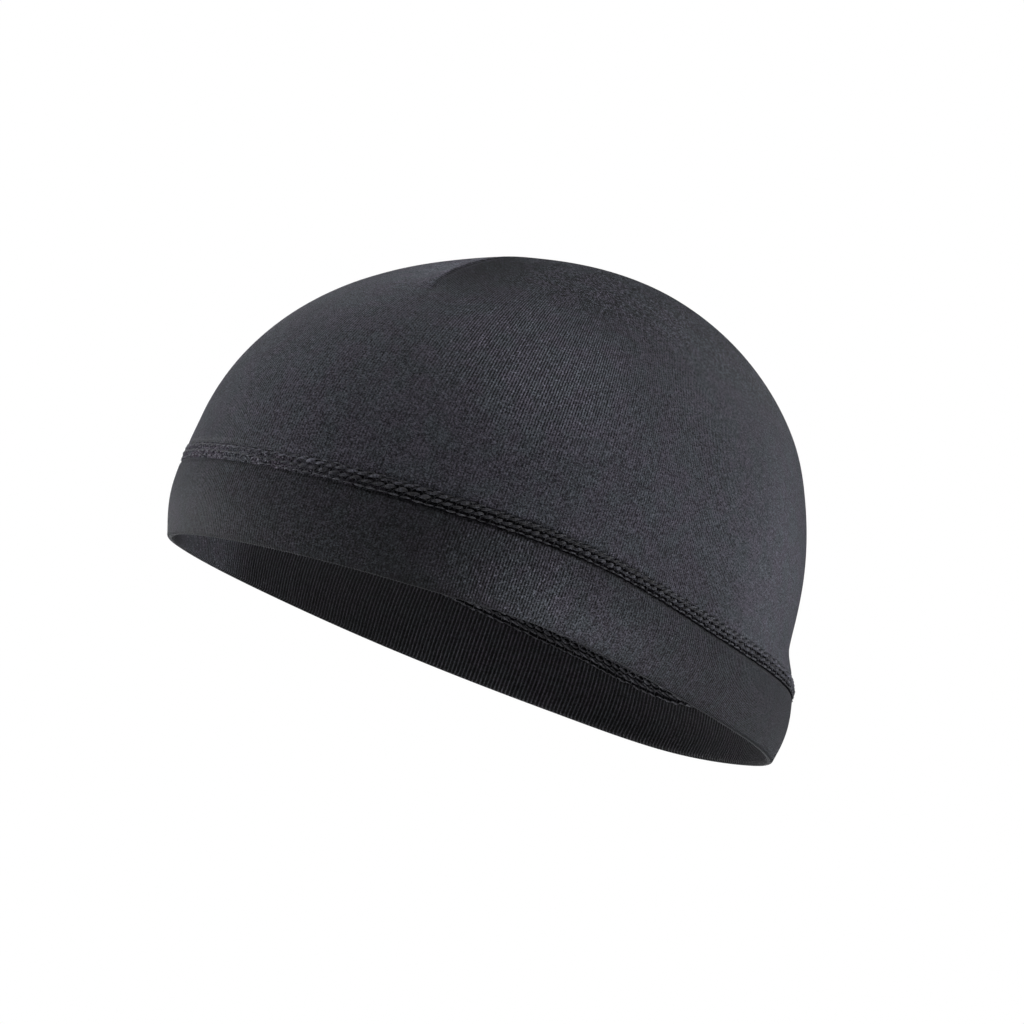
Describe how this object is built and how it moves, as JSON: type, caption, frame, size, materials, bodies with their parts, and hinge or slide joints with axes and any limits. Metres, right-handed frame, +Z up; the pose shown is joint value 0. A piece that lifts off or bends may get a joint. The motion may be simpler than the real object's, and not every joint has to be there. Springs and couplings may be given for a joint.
{
  "type": "cycling skull cap",
  "caption": "Close-fitting knit skull cap in its worn form: a rounded dome with a short crease at the top, joined by a flat raised seam to a doubled band with a folded edge.",
  "frame": {"origin": "centre of the head opening, in the plane of the lower rim, where the cap sits on a head", "axes": "+Z up through the crown, -Y the front of the cap, +X the wearer's left"},
  "size_m": [0.1589, 0.1995, 0.1143],
  "materials": {
    "crown": "matte knit, charcoal black",
    "band": "matte knit, charcoal black",
    "flatlock_seam": "matte thread, black"
  },
  "bodies": {
    "root": {"crown": "crown", "band": "band", "flatlock_seam": "flatlock_seam"}
  },
  "joints": []
}
